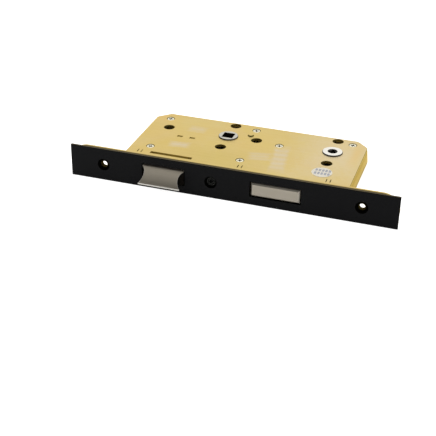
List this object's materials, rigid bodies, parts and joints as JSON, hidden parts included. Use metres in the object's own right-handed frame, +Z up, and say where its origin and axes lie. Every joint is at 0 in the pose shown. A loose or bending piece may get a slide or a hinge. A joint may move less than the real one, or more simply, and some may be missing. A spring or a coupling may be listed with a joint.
{
  "type": "bathroom mortise lock",
  "caption": "Flat gold-plated lock case on a long black forend, with a sprung bevelled latch worked by a handle spindle and a square deadbolt worked by a turn spindle.",
  "frame": {"origin": "middle of the forend's outer face, halfway between its two fixing holes", "axes": "+X along the forend from the latch towards the deadbolt, +Y from the forend into the case, +Z up out of the cover plate"},
  "size_m": [0.235, 0.0937, 0.024],
  "materials": {
    "black_coat": "fine matt black powder coat",
    "black_screw": "black oxide, slightly glossy",
    "gold_plate": "pale gold passivated plating on sheet steel",
    "gold_screw": "pale gold passivated plating",
    "satin_nickel": "satin nickel plating",
    "cast_zinc": "tumbled bright zinc casting",
    "bright_steel": "bright zinc plating",
    "spring_steel": "oiled spring steel",
    "sticker_paper": "thin coated paper"
  },
  "bodies": {
    "case": {"case_tray": "gold_plate", "cover_plate": "gold_plate", "inner_forend": "gold_plate", "outer_forend": "black_coat", "forend_screw": "black_screw", "cover_screws": "gold_screw", "cover_posts": "bright_steel", "latch_guide": "gold_plate", "latch_spring": "spring_steel", "follower_spring": "spring_steel", "detent_spring": "spring_steel", "detent_posts": "bright_steel", "deadbolt_guide_pin": "bright_steel", "inspection_sticker": "sticker_paper"},
    "handle": {"handle_follower": "cast_zinc"},
    "carriage": {"latch_carriage": "bright_steel"},
    "latch": {"latch_bolt": "satin_nickel", "latch_stem": "bright_steel", "stem_washer": "bright_steel", "stem_clip": "spring_steel"},
    "turn": {"turn_follower": "cast_zinc", "crank_pin": "bright_steel"},
    "deadbolt": {"deadbolt": "satin_nickel", "deadbolt_tail": "bright_steel", "deadbolt_rivets": "bright_steel"}
  },
  "joints": [
    {"name": "handle_turn", "type": "hinge", "parent": "case", "child": "handle", "pos_m": [-0.019, 0.06, 0], "axis": [0, 0, -1], "range_deg": [0, 36], "stiffness_Nm_per_rad": 0.6, "springref_deg": -34.38, "deforming": ["follower_spring"]},
    {"name": "carriage_slide", "type": "slide", "parent": "case", "child": "carriage", "axis": [0, 1, 0], "range_m": [0, 0.0101]},
    {"name": "latch_push", "type": "slide", "parent": "carriage", "child": "latch", "axis": [0, 1, 0], "range_m": [0, 0.01], "stiffness_N_per_m": 400, "springref_m": -0.01, "deforming": ["latch_spring"]},
    {"name": "turn", "type": "hinge", "parent": "case", "child": "turn", "pos_m": [0.059, 0.06, 0], "axis": [0, 0, 1], "range_deg": [0, 90], "deforming": ["detent_spring"]},
    {"name": "deadbolt_slide", "type": "slide", "parent": "case", "child": "deadbolt", "axis": [0, -1, 0], "range_m": [0, 0.014]}
  ],
  "couplings": [
    {"joint": "carriage_slide", "follows": "handle_turn", "m_per_rad": 0.015915},
    {"joint": "turn", "follows": "deadbolt_slide", "rad_per_m": 112.19}
  ]
}
